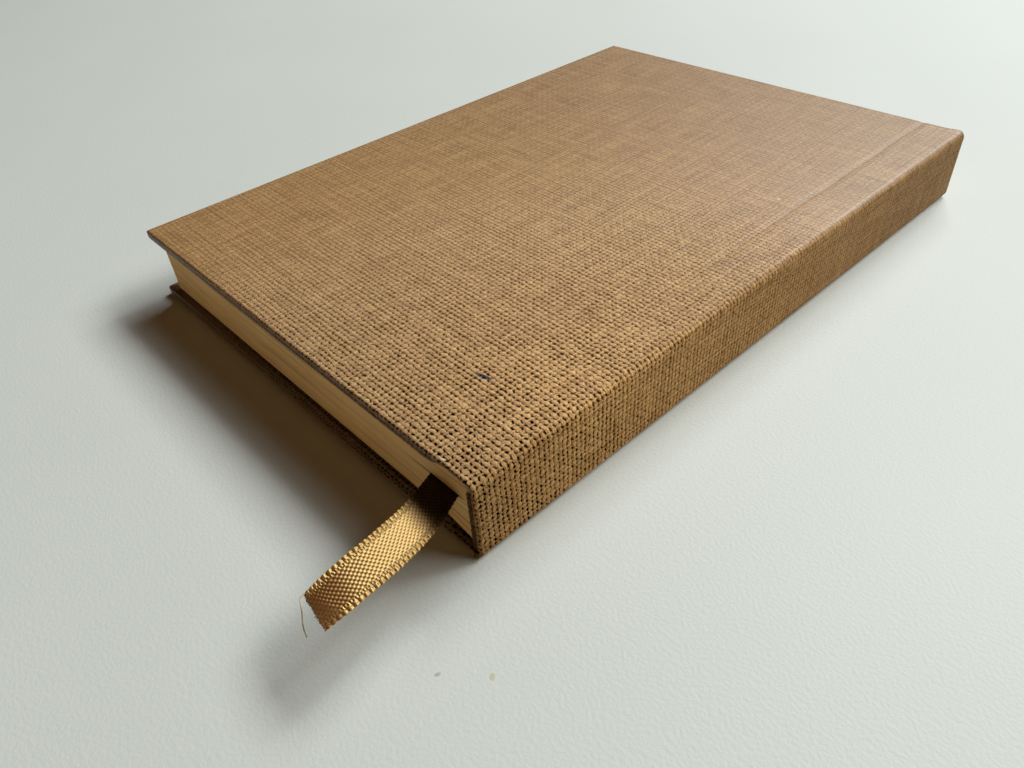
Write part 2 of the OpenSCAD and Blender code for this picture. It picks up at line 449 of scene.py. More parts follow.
# %% How the cloth lies
def round_case(s):
    """The place (x, z) and the outward direction at a distance s from the fore edge, over the top."""
    s = np.asarray(s, float)
    a1 = np.clip((s - top_len) / SPINE_R, 0, math.pi / 2)
    a2 = np.clip((s - top_len - corner_len - spine_len) / SPINE_R, 0, math.pi / 2)
    along_top = np.minimum(s, top_len)
    down_spine = np.clip(s - top_len - corner_len, 0, spine_len)
    x = fore_start + along_top + SPINE_R * np.sin(a1) - SPINE_R * (1 - np.cos(a2))
    z = case_t - SPINE_R * (1 - np.cos(a1)) - down_spine - SPINE_R * np.sin(a2)
    turn = a1 + a2
    return x, z, np.sin(turn), np.cos(turn)


def on_board(x):
    """A share of 1 under the cover board, which falls to 0 where the margin has come up in the joint."""
    return 1 - ease((x - board_x) / JOINT_SLOPE)


def case_depth(s):
    """How far the cloth goes down at the tail and the head: over a board, or over the bare joint."""
    spine_start = top_len + corner_len
    spine_end = spine_start + spine_len
    on_spine = ease((s - spine_start) / SPINE_STEP) * ease((spine_end - s) / SPINE_STEP)
    return joint_d + (COVER_D - joint_d) * (on_board(s + fore_start) + on_spine)


def round_edge(l, depth):
    """How far out of the edge's start, and how far below the face, a point l further on lies."""
    r = np.minimum(EDGE_R, depth / 2)
    quarter = r * math.pi / 2
    wall = np.maximum(depth - 2 * r, 0)
    a1 = np.clip(l / r, 0, math.pi / 2)
    a2 = np.clip((l - quarter - wall) / r, 0, math.pi / 2)
    back = np.maximum(l - 2 * quarter - wall, 0)
    out = r * np.sin(a1) - r * (1 - np.cos(a2)) - back
    down = r * (1 - np.cos(a1)) + np.clip(l - quarter, 0, wall) + r * np.sin(a2)
    return out, down


# %% [markdown]
# The flat sheet is cut and folded here. Points in the margins are moved round their edge, and where
# two margins meet under a corner of the board they are drawn back to a mitre. The sheet keeps its flat
# size as a UV map that counts threads, so the pattern of the weave follows every fold.

# %% Cutting and folding the cloth
def sheet_lines(face, margins):
    """The places of a sheet's grid lines, with the lines of its margins before and after its face."""
    before = [-l for l in FLAP[::-1]] if margins[0] else []
    after = [face[-1] + l for l in FLAP] if margins[1] else []
    return np.array([*(face[0] + np.array(before)), *face, *after])


def fold_sheet(s, b):
    """Where the point (s, b) of the flat sheet lies on the case, for the back cover and the spine."""
    across = np.abs(b)
    on_end = across > face_l
    on_fore = s < 0
    end_out, end_down = round_edge(np.maximum(across - face_l, 0), case_depth(s))
    fore_out, fore_down = round_edge(np.maximum(-s, 0), COVER_D)
    at_fore_line = np.abs(s) < NEAR
    at_end_line = np.abs(across - face_l) < NEAR
    at_corner = on_end & at_fore_line | on_fore & at_end_line
    # Both margins share the line down a corner, which is a little rounded
    corner_out = np.where(on_fore, fore_out, end_out)
    corner_out = np.where(corner_out > 0, CORNER_REACH * corner_out, corner_out)
    x, z, nx, nz = round_case(np.maximum(s, -end_out))
    x = np.where(at_corner & on_end, fore_start, x)
    b_held = np.minimum(across, face_l + np.minimum(fore_out, 0))
    b_held = np.where(at_corner, face_l, b_held)
    out_x = np.where(at_corner, corner_out, fore_out)
    out_y = np.where(at_corner, corner_out, end_out)
    down = np.where(on_fore, fore_down, end_down)
    y = np.sign(b) * (b_held + out_y)
    return np.stack([x - out_x - nx * down, y, z - nz * down], axis=-1)


def openness(s, b):
    """How open the weave is at a place on the sheet, given in millimetres."""
    away = np.hypot(s / THREAD - OPEN_PLACE[0], b / THREAD - OPEN_PLACE[1])
    return OPEN_MOST - (OPEN_MOST - OPEN_LEAST) * np.clip(away / OPEN_REACH, 0, 1)


# How far down, in mm, the weave goes at a thread that dives, between threads each way and in a hole,
# and by chance
DIVE, GAP_S, GAP_B, HOLE, CHANCE = 0.03, 0.05, 0.1, 0.06, 0.025


def weave_relief(columns, rows, rng):
    """How far each grid point lies below the crests of the threads."""
    low_column, low_row = columns % 2 == 1, rows % 2 == 1
    over = (columns // 2 + rows // 2) % 2
    depth = DIVE * over + GAP_S * low_column + GAP_B * low_row + HOLE * (low_column & low_row)
    return depth + rng.uniform(0, CHANCE, depth.shape)


def cut_sheet(name, s_lines, b_lines):
    """A flat grid with its lines at the given places, and the faces that its cut corners take away."""
    cloth, column, row = new_grid(name, len(s_lines) - 1, len(b_lines) - 1)
    corners = corner_points(cloth.data)
    uv = np.stack([s_lines[column[corners]] / THREAD, b_lines[row[corners]] / THREAD], axis=1)
    cloth.data.uv_layers[0].data.foreach_set("uv", uv.astype(np.float32).ravel())
    middle = uv.reshape(-1, 4, 2).mean(1) * THREAD
    cut = (middle[:, 0] < 0) & (np.abs(middle[:, 1]) > face_l)
    return cloth, column, row, cut


def remove_faces(piece, chosen):
    """Deletes the chosen faces, given as a list of true and false."""
    select_only(piece)
    bpy.ops.object.mode_set(mode="EDIT")
    bpy.context.tool_settings.mesh_select_mode = (False, False, True)
    bpy.ops.mesh.select_all(action="DESELECT")
    bpy.ops.object.mode_set(mode="OBJECT")
    piece.data.polygons.foreach_set("select", np.asarray(chosen, bool))
    bpy.ops.object.mode_set(mode="EDIT")
    bpy.ops.mesh.delete(type="FACE")
    bpy.ops.object.mode_set(mode="OBJECT")


def make_cloth(name, s_count, s_len, turned_over, seed):
    """One part of the case cloth, from the fore edge of a cover round to s_len."""
    s_face = np.linspace(0, s_len, s_count + 1)
    b_face = row_step * np.arange(-rows_half, rows_half + 1)
    s_lines = sheet_lines(s_face, (True, False))
    b_lines = sheet_lines(b_face, (True, True))
    cloth, column, row, cut = cut_sheet(name, s_lines, b_lines)
    s, b = s_lines[column], b_lines[row]
    place = fold_sheet(s, b)
    margin = len(FLAP)
    relief = weave_relief(column - margin, row - margin - rows_half, np.random.default_rng(seed))
    relief *= openness(s, b) * ease(s_len - s)
    relief += JOINT_DENT * np.exp(-(((s - hinge_x + fore_start) / JOINT_DENT_W) ** 2))
    over_lip = np.abs(b) - face_l - LIP_PLACE
    relief -= LIP_RISE * np.exp(-((over_lip / LIP_W) ** 2) - ((s - top_len) / LIP_L) ** 2)
    attribute = cloth.data.attributes.new("relief", "FLOAT", "POINT")
    attribute.data.foreach_set("value", relief.astype(np.float32))
    if turned_over:
        place[:, 2] = case_t - place[:, 2]
    put_points(cloth.data, place)
    remove_faces(cloth, cut)
    in_edit_mode(
        cloth,
        lambda: bpy.ops.mesh.remove_doubles(threshold=0.002 * MM),
        lambda: bpy.ops.mesh.dissolve_degenerate(threshold=0.001 * MM),
    )
    if turned_over:
        in_edit_mode(cloth, bpy.ops.mesh.flip_normals)
    sink_relief(cloth)
    shade_smooth(cloth)
    return cloth


def sink_relief(cloth):
    """Moves each point below the face of the cloth by its relief, against the cloth's own direction."""
    mesh = cloth.data
    place = get_points(mesh)
    normal = np.zeros(place.size, np.float32)
    relief = np.zeros(len(place), np.float32)
    mesh.vertices.foreach_get("normal", normal)
    mesh.attributes["relief"].data.foreach_get("value", relief)
    moved = place - normal.reshape(-1, 3) * relief[:, None] * MM
    mesh.vertices.foreach_set("co", moved.ravel())
    mesh.attributes.remove(mesh.attributes["relief"])
    mesh.update()


back_len = top_len + 2 * corner_len + spine_len
back_sheet = make_cloth("back_case_cloth", round(back_len / THREAD * 2), back_len, False, 1)
front_sheet = make_cloth("front_case_cloth", round(top_len / THREAD * 2), top_len, True, 2)
for cloth in (back_sheet, front_sheet):
    cloth.data.calc_loop_triangles()
    print(cloth.name, len(cloth.data.loop_triangles), "triangles")

# %% [markdown]
# The place of each half of the cloth is baked into its points.


def bend_at_joint(piece):
    """Bakes the piece's place into its points."""
    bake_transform(piece)


bend_at_joint(back_sheet)
bend_at_joint(front_sheet)
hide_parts("back_cloth", "spine_cloth")
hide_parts("front_cloth")

# %% [markdown]
# The pages are some hundred and ten leaves, cut to one size and glued at the spine. At the tail they
# show as fine lines. Where the cover boards end the leaves spread into the room that is left, and
# where the ribbon lies they part round it and close again in a wedge. The block is two stacks of thin
# bands, one below the ribbon and one above it, drawn as a grid each, joined along the line where they
# touch, and extruded from the tail to the head.

# %% The sizes of the pages
BANDS = 52
BAND_DEPTH = 0.05
RIBBON_WEDGE = 7.0
RIBBON_ROOM = 0.05
RIBBON_STEP = 1.2
swell_start = spine_low[0]
fly_low = case_t - box_mm("back_flyleaf")[0][2]
ribbon_half = RIBBON_W / 2
ribbon_left = RIBBON_PLACE[0] - ribbon_half
ribbon_right = RIBBON_PLACE[0] + ribbon_half
page_mid = RIBBON_PLACE[2]
mid_share = (page_mid - fly_low) / (case_t - 2 * fly_low)
print("pages", (page_high - page_low).round(2), "mm")


def page_edges(x):
    """The lowest and the highest height of the pages at a distance across the book."""
    swell = np.clip((x - swell_start) / (page_high[0] - swell_start), 0, 1)
    low = fly_low + (page_low[2] - fly_low) * swell
    return low, case_t - low


def ribbon_gap(x):
    """Half the height of the gap between the leaves at the ribbon."""
    full = RIBBON_T / 2 + RIBBON_ROOM
    left = 1 - np.clip((ribbon_left - x) / RIBBON_WEDGE, 0, 1)
    right = 1 - np.clip((x - ribbon_right) / RIBBON_STEP, 0, 1)
    return full * np.minimum(left, right)


def page_columns():
    """The places across the book of the pages' grid lines, close together at the ribbon."""
    far = np.linspace(page_low[0], ribbon_left - RIBBON_WEDGE, 22, endpoint=False)
    wedge = np.linspace(ribbon_left - RIBBON_WEDGE, ribbon_left, 12, endpoint=False)
    over = np.linspace(ribbon_left, ribbon_right, 8, endpoint=False)
    beyond = np.linspace(ribbon_right, page_high[0], 7)
    return np.concatenate([far, wedge, over, beyond])


columns = page_columns()
print(len(columns), "columns across the pages")


# %% Building the pages
def stack_grid(name, rows, heights):
    """A grid in the tail plane, whose lines follow the columns and the heights of a stack of bands."""
    stack, column, row = new_grid(name, len(columns) - 1, rows)
    x = columns[column]
    y = np.full(len(x), page_low[1])
    put_points(stack.data, np.stack([x, y, heights(x, row / rows)], axis=1))
    return stack


def lower_height(x, share):
    """Height in the stack below the ribbon, at a share of the way up it."""
    low, _ = page_edges(x)
    return low + share * (page_mid - ribbon_gap(x) - low)


def upper_height(x, share):
    """Height in the stack above the ribbon, at a share of the way up it."""
    _, high = page_edges(x)
    start = page_mid + ribbon_gap(x)
    return start + share * (high - start)


lower_rows = 2 * round(BANDS * mid_share)
upper_rows = 2 * BANDS - lower_rows
lower = stack_grid("pages_lower", lower_rows, lower_height)
upper = stack_grid("pages_upper", upper_rows, upper_height)
bpy.ops.object.select_all(action="DESELECT")
upper.select_set(True)
lower.select_set(True)
bpy.context.view_layer.objects.active = lower
bpy.ops.object.join()
page_block = lower
page_block.name = page_block.data.name = "page_block"
to_head = {"value": (0, (page_high[1] - page_low[1]) * MM, 0)}
in_edit_mode(
    page_block,
    lambda: bpy.ops.mesh.remove_doubles(threshold=0.0005 * MM),
    lambda: bpy.ops.mesh.extrude_region_move(TRANSFORM_OT_translate=to_head),
    lambda: bpy.ops.mesh.select_all(action="SELECT"),
    bpy.ops.mesh.normals_make_consistent,
)
print(page_block.name, "has", len(page_block.data.polygons), "faces")

# %% [markdown]
# The leaves aren't perfectly even: every band stands a few hundredths of a millimetre in or out, at the
# tail, at the head and at the fore edge. A UV map counts the leaves, so the material can draw them.

# %% The uneven leaves
LEAVES = 112
GROOVE = 0.04
END_REACH = 0.01


def leaf_share(place):
    """How far up the stack of pages a point lies, from 0 to 1, whatever the swelling and the gap."""
    low, high = page_edges(place[:, 0])
    gap = ribbon_gap(place[:, 0])
    below = (place[:, 2] - low) / (page_mid - gap - low) * mid_share
    above = (place[:, 2] - page_mid - gap) / (high - page_mid - gap)
    above = mid_share + above * (1 - mid_share)
    return np.where(place[:, 2] < page_mid, below, above)


def uneven_leaves(block):
    """Moves each band of leaves a little in at the three open sides, and counts the leaves as UV."""
    mesh = block.data
    place = get_points(mesh) / MM
    share = leaf_share(place)
    flat = np.stack([place[:, 0] + place[:, 1], share * LEAVES], axis=1)[corner_points(mesh)]
    mesh.uv_layers[0].data.foreach_set("uv", flat.astype(np.float32).ravel())
    band = np.clip(np.floor(share * BANDS + 0.25), 0, BANDS).astype(int)
    rng = np.random.default_rng(3)
    step = rng.uniform(0, BAND_DEPTH, (3, BANDS + 1))
    groove = GROOVE * (np.round(share * 2 * BANDS).astype(int) % 2)
    at_tail = place[:, 1] < page_low[1] + END_REACH
    at_head = place[:, 1] > page_high[1] - END_REACH
    at_fore = place[:, 0] < page_low[0] + END_REACH
    place[:, 1] += np.where(at_tail, step[0][band] + groove, 0)
    place[:, 1] -= np.where(at_head, step[1][band] + groove, 0)
    place[:, 0] += np.where(at_fore, step[2][band] + groove, 0)
    put_points(mesh, place)


uneven_leaves(page_block)
shade_smooth(page_block, 30)
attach(page_block, "book_block")
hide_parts("pages")

# %% [markdown]
# An endpaper is one folded sheet. One half is glued to the cover and over the margins of the cloth,
# whose step shows through it, and goes on over the joint to the edge of the pages. There it folds back
# and becomes the flyleaf, which lies on the pages. The loose half stays on the pages; each half is a
# piece, and they meet in the fold.

# %% The glued half of an endpaper
PAPER_T = 0.12
STEP_W = 0.8
FOLD_ROOM = 0.25
window_x = fore_x + TURN_IN
window_y = half_l - TURN_IN
fold_x = page_high[0] - FOLD_ROOM


def paste_height(x, y):
    """Height of the glued paper's lower side under the back cover, at a place on it."""
    in_window = ease((x - window_x) / STEP_W) * ease((window_y - np.abs(y)) / STEP_W)
    cover = case_t - COVER_D - PAPER_T + CLOTH_T * in_window
    joint = case_t - joint_d - PAPER_T
    return joint + (cover - joint) * on_board(x)


def turn_over(piece):
    """Turns a piece of the back cover over, to the place of its twin at the front cover."""
    piece.data.transform(Matrix.Diagonal((1, 1, -1, 1)))
    piece.data.transform(Matrix.Translation((0, 0, case_t * MM)))
    piece.data.flip_normals()
    piece.data.update()


def paper_piece(name, x_lines, y_lines, height, thickness, turned_over):
    """A sheet of paper over the given lines, whose lower side's height is a function of its place."""
    paper, column, row = new_grid(name, len(x_lines) - 1, len(y_lines) - 1)
    x, y = x_lines[column], y_lines[row]
    put_points(paper.data, np.stack([x, y, height(x, y)], axis=1))
    select_only(paper)
    solidify = paper.modifiers.new("thickness", "SOLIDIFY")
    solidify.thickness = thickness * MM
    solidify.offset = 1
    bpy.ops.object.modifier_apply(modifier=solidify.name)
    if turned_over:
        turn_over(paper)
    shade_smooth(paper, 40)
    return paper


def fine_near(low, high, places, coarse, fine, reach):
    """Grid lines from low to high, a coarse step apart, and a fine step near some places."""
    lines = set(np.linspace(low, high, round((high - low) / coarse) + 1).round(4))
    for place in places:
        lines |= set(np.arange(place - reach, place + reach + fine / 2, fine).round(4))
    return np.array(sorted(x for x in lines if low <= x <= high))


def make_pastedown(name, turned_over):
    """The glued half, with fine lines where the cloth's margin ends under it and at the joint."""
    steps = (window_x + STEP_W / 2, board_x + JOINT_SLOPE / 2)
    x_lines = fine_near(page_low[0], fold_x, steps, coarse=6, fine=0.2, reach=2)
    edges = (window_y - STEP_W / 2, STEP_W / 2 - window_y)
    y_lines = fine_near(page_low[1], page_high[1], edges, coarse=8, fine=0.2, reach=0.6)
    return paper_piece(name, x_lines, y_lines, paste_height, PAPER_T, turned_over)


pastedowns = {
    "back_cover": make_pastedown("back_pastedown_paper", False),
    "front_cover": make_pastedown("front_pastedown_paper", True),
}
for cover, paper in pastedowns.items():
    bend_at_joint(paper)
    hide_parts(cover.replace("_cover", "_pastedown"))
    print(paper.name, "has", len(paper.data.polygons), "faces")


# %% The loose half of an endpaper
FLY_END = 0.14
FLY_T = 0.9 * PAPER_T


def fly_height(x, y):
    """Height of the flyleaf's lower side, which lies on the pages and rises with them at the spine."""
    return page_edges(x)[1]


def make_flyleaf(name, turned_over):
    """The loose half, with fine lines where the pages begin to swell and near the fold."""
    steps = (swell_start, page_high[0] - 0.5)
    end = page_high[0] - FLY_END
    x_lines = fine_near(page_low[0], end, steps, coarse=6, fine=0.25, reach=1)
    y_lines = np.array([page_low[1], 0, page_high[1]])
    return paper_piece(name, x_lines, y_lines, fly_height, FLY_T, turned_over)


for side, turned in (("back", False), ("front", True)):
    leaf = make_flyleaf(side + "_flyleaf_paper", turned)
    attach(leaf, "book_block")
    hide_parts(side + "_flyleaf")
    print(leaf.name, "has", len(leaf.data.polygons), "faces")

# %% [markdown]
# Every finish is a small tree of nodes. Colours are given as they look on a screen and turned to
# linear light, and one function adds a node with its settings and what goes into it.

# %% Helpers for finishes
def linear(hex_colour):
    """An sRGB hex colour as linear red, green, blue and alpha."""
    parts = [int(hex_colour[i : i + 2], 16) / 255 for i in (1, 3, 5)]
    return [x / 12.92 if x <= 0.04045 else ((x + 0.055) / 1.055) ** 2.4 for x in parts] + [1]


def add(tree, kind, inputs=(), **settings):
    """Adds a node, changes its settings, sets or links its inputs, and returns its first output."""
    node = tree.nodes.new("ShaderNode" + kind)
    for name, value in settings.items():
        setattr(node, name, value)
    for socket, value in inputs.items() if isinstance(inputs, dict) else enumerate(inputs):
        if isinstance(value, bpy.types.NodeSocket):
            tree.links.new(value, node.inputs[socket])
        else:
            node.inputs[socket].default_value = value
    return node.outputs[0] if node.outputs else None


def new_finish(name):
    """An empty material and its tree."""
    finish = bpy.data.materials.new(name)
    finish.use_nodes = True
    finish.node_tree.nodes.clear()
    return finish, finish.node_tree


def give(finish, *pieces):
    """Makes a finish the only one of some pieces."""
    for piece in pieces:
        piece.data.materials.clear()
        piece.data.materials.append(finish)


# %% [markdown]
# Book cloth is cotton or linen, woven plain and filled with starch. The threads are drawn from the UV
# map, which counts them: near each crossing one thread is on top, and which one changes from crossing
# to crossing. A thread is round across its width and rises and falls along its length. The higher of
# the two is what is seen, and where neither reaches there is a hole down to the glue, which the finish
# paints dark as shade.

# %% The weave
# The axis a thread runs along, the axis across it, half its width, its rise and its roundness
WEFT = (0, 1, 0.42, 0.3, 0.6)
WARP = (1, 0, 0.26, -0.36, 0.42)


def weave_height(tree, counts, tight):
    """Height of the weave at a place counted in threads: about 1 on the crests and 0 in the holes."""
    place = add(tree, "SeparateXYZ", [counts]).node.outputs
    number, off = [], []
    for axis in (0, 1):
        number.append(add(tree, "Math", [place[axis]], operation="ROUND"))
        off.append(add(tree, "Math", [place[axis], number[axis]], operation="SUBTRACT"))
    both = add(tree, "Math", [number[0], number[1]])
    turn = add(tree, "Math", [both, math.pi], operation="MULTIPLY")
    turn = add(tree, "Math", [turn], operation="COSINE")
    heights = []
    for along, across, half, rise, body_h in (WEFT, WARP):
        swing = add(tree, "Math", [off[along], math.pi], operation="MULTIPLY")
        swing = add(tree, "Math", [swing], operation="COSINE")
        lift = add(tree, "Math", [swing, turn], operation="MULTIPLY")
        half = add(tree, "Math", [half, tight])
        share = add(tree, "Math", [off[across], half], operation="DIVIDE")
        share = add(tree, "Math", [share, share], operation="MULTIPLY")
        left = add(tree, "Math", [1.0, share], operation="SUBTRACT", use_clamp=True)
        body = add(tree, "Math", [left], operation="SQRT")
        body = add(tree, "Math", [body, body_h], operation="MULTIPLY")
        heights.append(add(tree, "Math", [lift, rise, body], operation="MULTIPLY_ADD"))
    return add(tree, "Math", [heights[0], heights[1], 0.12], operation="SMOOTH_MAX")


def noise(tree, place, stretch, detail=2.0, turn=0.0):
    """Soft noise whose spots are as many per unit as stretch says, turned by an angle in degrees."""
    moved = add(
        tree, "Mapping", {"Vector": place, "Scale": stretch, "Rotation": (0, 0, math.radians(turn))}
    )
    return add(tree, "TexNoise", {"Vector": moved, "Scale": 1.0, "Detail": detail, "Roughness": 0.55})


def spot(tree, colour, counts, place, size, turn, hex_colour):
    """Paints one small spot, such as a speck of dirt, at a place and of a size counted in threads."""
    settings = {"Vector": counts, "Location": (*place, 0), "Rotation": (0, 0, turn), "Scale": (*size, 1)}
    away = add(tree, "Mapping", settings, vector_type="TEXTURE")
    away = add(tree, "VectorMath", [away], operation="LENGTH").node.outputs["Value"]
    share = add(tree, "MapRange", [away, 0.7, 1.1, 1, 0], interpolation_type="SMOOTHSTEP")
    mixed = add(tree, "Mix", {0: share, 6: colour, 7: linear(hex_colour)}, data_type="RGBA")
    return mixed.node.outputs[2]


def two_tones(tree, value, was, dark, light):
    """A colour between two hex colours, as a value goes through a range."""
    share = add(tree, "MapRange", [value, *was, 0, 1])
    mixed = add(tree, "Mix", {0: share, 6: linear(dark), 7: linear(light)}, data_type="RGBA")
    return mixed.node.outputs[2]


# %% [markdown]
# The finish of the cloth. Threads wander and differ in thickness, some holes are filled, each row and
# column has its own shade, and fibres run aslant over every thread because it is twisted. The crossing
# threads are thicker than the lengthwise ones, so the holes are short dashes. Their dark is painted
# shade, as is a little darkening of the weave's lower parts. They are open near the tail end of the
# spine and almost filled far from it, and painted light makes the colour brightest there too. Painted
# shade darkens the boards' tail and head edges, less the turned-in margins, and a little the spine,
# which has no gloss. The sheen is that of short cotton fibres seen against the light. A few specks lie
# on the cloth, as on the real one.

# %% The finish of the book cloth
CLOTH_LIGHT = "#d8ab6f"
CLOTH_DARK = "#95693a"
# Painted shade at the bottom of the holes
HOLE_PAINTED_SHADE = "#180903"
# Painted light: the cloth is painted brightest at this place, in threads. Each thread further keeps this
# share of the extra painted light, on top of the least that is left everywhere.
PAINTED_LIGHT_PLACE = (106, -57)
PAINTED_LIGHT_RATE = 0.977
PAINTED_LIGHT_LEAST, PAINTED_LIGHT_REACH = 0.6, 1.3
# Painted shade: the share of colour left on the boards' tail and head edges, on the turned-in margins, and
# on the spine
EDGE_PAINTED_SHADE, MARGIN_PAINTED_SHADE, SPINE_PAINTED_SHADE = 0.28, 0.83, 0.88
WEAVE_RELIEF = 0.5
# Place in threads from the fore edge and from the middle, half size in threads, turn, and colour
SPECKS = {
    "dark_fibre": ((92.2, -60.3), (1.8, 0.42), 0.26, "#232a40"),
    "pale_lint": ((90.3, -60.0), (0.3, 0.22), 0.3, "#d9b48a"),
    "white_fleck": ((101.7, -76.7), (0.42, 0.2), 0.2, "#f4ecdc"),
    "light_fleck": ((94.6, 21.3), (0.4, 0.3), 0.5, "#e6cfa6"),
}


def cloth_finish():
    """Starched cotton book cloth: the weave, its fibres and tones, its painted light and shade, and its
    specks.
    """
    finish, tree = new_finish("starched_cotton_book_cloth")
    counts = add(tree, "UVMap", uv_map="UVMap")
    wander = add(tree, "TexNoise", {"Vector": counts, "Scale": 0.5, "Detail": 2.0})
    wander = wander.node.outputs["Color"]
    wander = add(tree, "VectorMath", [wander, (0.5, 0.5, 0.5)], operation="SUBTRACT")
    wander = add(tree, "VectorMath", [wander, (0.9, 0.6, 0)], operation="MULTIPLY")
    threads = add(tree, "VectorMath", [counts, wander])
    hole_cell = add(tree, "VectorMath", [threads], operation="FLOOR")
    chance = add(tree, "TexWhiteNoise", [hole_cell], noise_dimensions="2D")
    opened = add(tree, "VectorMath", [counts, (*OPEN_PLACE, 0)], operation="DISTANCE")
    opened = add(tree, "MapRange", [opened.node.outputs["Value"], 0, OPEN_REACH, OPEN_MOST, OPEN_LEAST])
    patch = add(tree, "MapRange", [noise(tree, counts, (0.17, 0.2, 1), 2.0), 0.3, 0.66, -0.03, 0.05])
    tight = add(tree, "Math", [patch, add(tree, "MapRange", [chance, 0, 1, -0.06, 0.07])])
    height = weave_height(tree, threads, tight)
    fibres = noise(tree, threads, (1.7, 6.5, 1), 2.0, 35)
    grain = noise(tree, counts, (5, 5, 1), 2.0)
    height = add(tree, "Math", [add(tree, "MapRange", [fibres, 0.3, 0.7, -0.16, 0.16]), height])
    height = add(tree, "Math", [add(tree, "MapRange", [grain, 0.3, 0.7, -0.14, 0.14]), height])
    rows = noise(tree, threads, (0.07, 1.3, 1), 1.0)
    bars = noise(tree, threads, (1.3, 0.07, 1), 1.0)
    shade = add(tree, "Math", [rows, bars])
    shade = add(tree, "Math", [shade, add(tree, "MapRange", [fibres, 0.3, 0.7, -0.25, 0.25])])
    # Painted shade: the lower parts of the weave are painted darker
    shade = add(tree, "Math", [shade, add(tree, "MapRange", [height, 0.3, 1.0, -0.25, 0.25])])
    shade = add(tree, "Math", [shade, add(tree, "MapRange", [grain, 0.3, 0.7, -0.45, 0.45])])
    colour = two_tones(tree, shade, (0.6, 1.4), CLOTH_DARK, CLOTH_LIGHT)
    parts = add(tree, "SeparateXYZ", [counts]).node.outputs
    # Painted shade on the boards' tail and head edges, lighter again on the turned-in margins, and on the
    # spine
    past_edge = add(tree, "Math", [parts[1]], operation="ABSOLUTE")
    face_end = face_l / THREAD
    back_to_light = MARGIN_PAINTED_SHADE - EDGE_PAINTED_SHADE
    turned_in = add(tree, "MapRange", [past_edge, face_end + 3, face_end + 6, 0, back_to_light])
    past_edge = add(tree, "MapRange", [past_edge, face_end + 0.4, face_end + 1.2, 1, EDGE_PAINTED_SHADE])
    on_spine = add(tree, "MapRange", [parts[0], top_len / THREAD, top_len / THREAD + 2, 0, 1])
    # Painted light, brightest near one place on the cover, times the painted shade of edges, margins and
    # spine
    painted_light_falloff = add(tree, "VectorMath", [counts, (*PAINTED_LIGHT_PLACE, 0)], operation="DISTANCE")
    painted_light_falloff = add(tree, "Math", [PAINTED_LIGHT_RATE, painted_light_falloff.node.outputs["Value"]], operation="POWER")
    bright = add(tree, "Math", [painted_light_falloff, PAINTED_LIGHT_REACH, PAINTED_LIGHT_LEAST], operation="MULTIPLY_ADD")
    edge_painted_shade = add(tree, "Math", [past_edge, turned_in])
    bright = add(tree, "Math", [bright, edge_painted_shade], operation="MULTIPLY")
    spine_painted_shade = add(tree, "MapRange", [on_spine, 0, 1, 1, SPINE_PAINTED_SHADE])
    bright = add(tree, "Math", [bright, spine_painted_shade], operation="MULTIPLY")
    colour = add(tree, "Mix", {0: 1.0, 6: colour, 7: bright}, data_type="RGBA", blend_type="MULTIPLY")
    colour = colour.node.outputs[2]
    # Painted shade: the holes are painted near black, more where the weave is open
    hole = add(tree, "MapRange", [height, 0.12, 0.48, 1, 0], interpolation_type="SMOOTHSTEP")
    hole = add(tree, "Math", [hole, opened], operation="MULTIPLY", use_clamp=True)
    colour = add(tree, "Mix", {0: hole, 6: colour, 7: linear(HOLE_PAINTED_SHADE)}, data_type="RGBA").node.outputs[2]
    matt = add(tree, "Math", [hole, 2.0], operation="MULTIPLY")
    matt = add(tree, "Math", [matt, on_spine])
    for place, size, turn, hex_colour in SPECKS.values():
        colour = spot(tree, colour, counts, place, size, turn, hex_colour)
    bump = add(tree, "Bump", {"Height": height, "Distance": WEAVE_RELIEF * MM, "Strength": opened})
    shader = add(
        tree,
        "BsdfPrincipled",
        {
            "Base Color": colour,
            "Roughness": 0.52,
            "Normal": bump,
            "Specular IOR Level": add(tree, "MapRange", [matt, 0, 1.1, 0.8, 0]),
            "Sheen Weight": add(tree, "MapRange", [matt, 0, 1.1, 0.12, 0]),
            "Sheen Roughness": 0.4,
            "Sheen Tint": linear("#ffe9cc"),
        },
    )
    add(tree, "OutputMaterial", [shader])
    return finish


give(cloth_finish(), back_sheet, front_sheet)

# %% [markdown]
# Satin ribbon is woven of bright polyester filaments. Each lengthwise float passes over four crossing
# threads and under the fifth, one column further each time, which reads as rows of small cells that
# run a little aslant; the dips between them are painted darker as shade. Light slides along the
# filaments, so the gloss is wide across the tape and narrow along it, which is what an anisotropic
# shader with its tangent across the tape gives. Where the tape leaves the pages a painted shadow
# darkens it and turns its gloss down, and its cut end has lost its shine to short fuzz.

# %% The finish of the ribbon
RIBBON_COLOUR = "#763410"
# Painted shade in the dips between floats, between loops and between beads
RIBBON_PAINTED_SHADE = "#2b0f04"
BEAD_COLOUR = "#94602b"
CELL_L = 0.85
CELL_ROW = 0.354
CELL_SLANT = math.radians(10.2)
FUZZ_L = 2.2
FUZZ_SLANT = 0.55
# Painted shadow where the tape leaves the pages: how far past the pages' edge it begins to lift, where
# it is gone, and the share of colour and gloss left in it
PAINTED_SHADOW_RAMP = (5.3, 10.6)
PAINTED_SHADOW_LEAST = 0.1


def wave(tree, value, factor, shift=0.0):
    """The cosine of a value times a factor, plus a shift."""
    angle = add(tree, "Math", [value, factor, shift], operation="MULTIPLY_ADD")
    return add(tree, "Math", [angle], operation="COSINE")


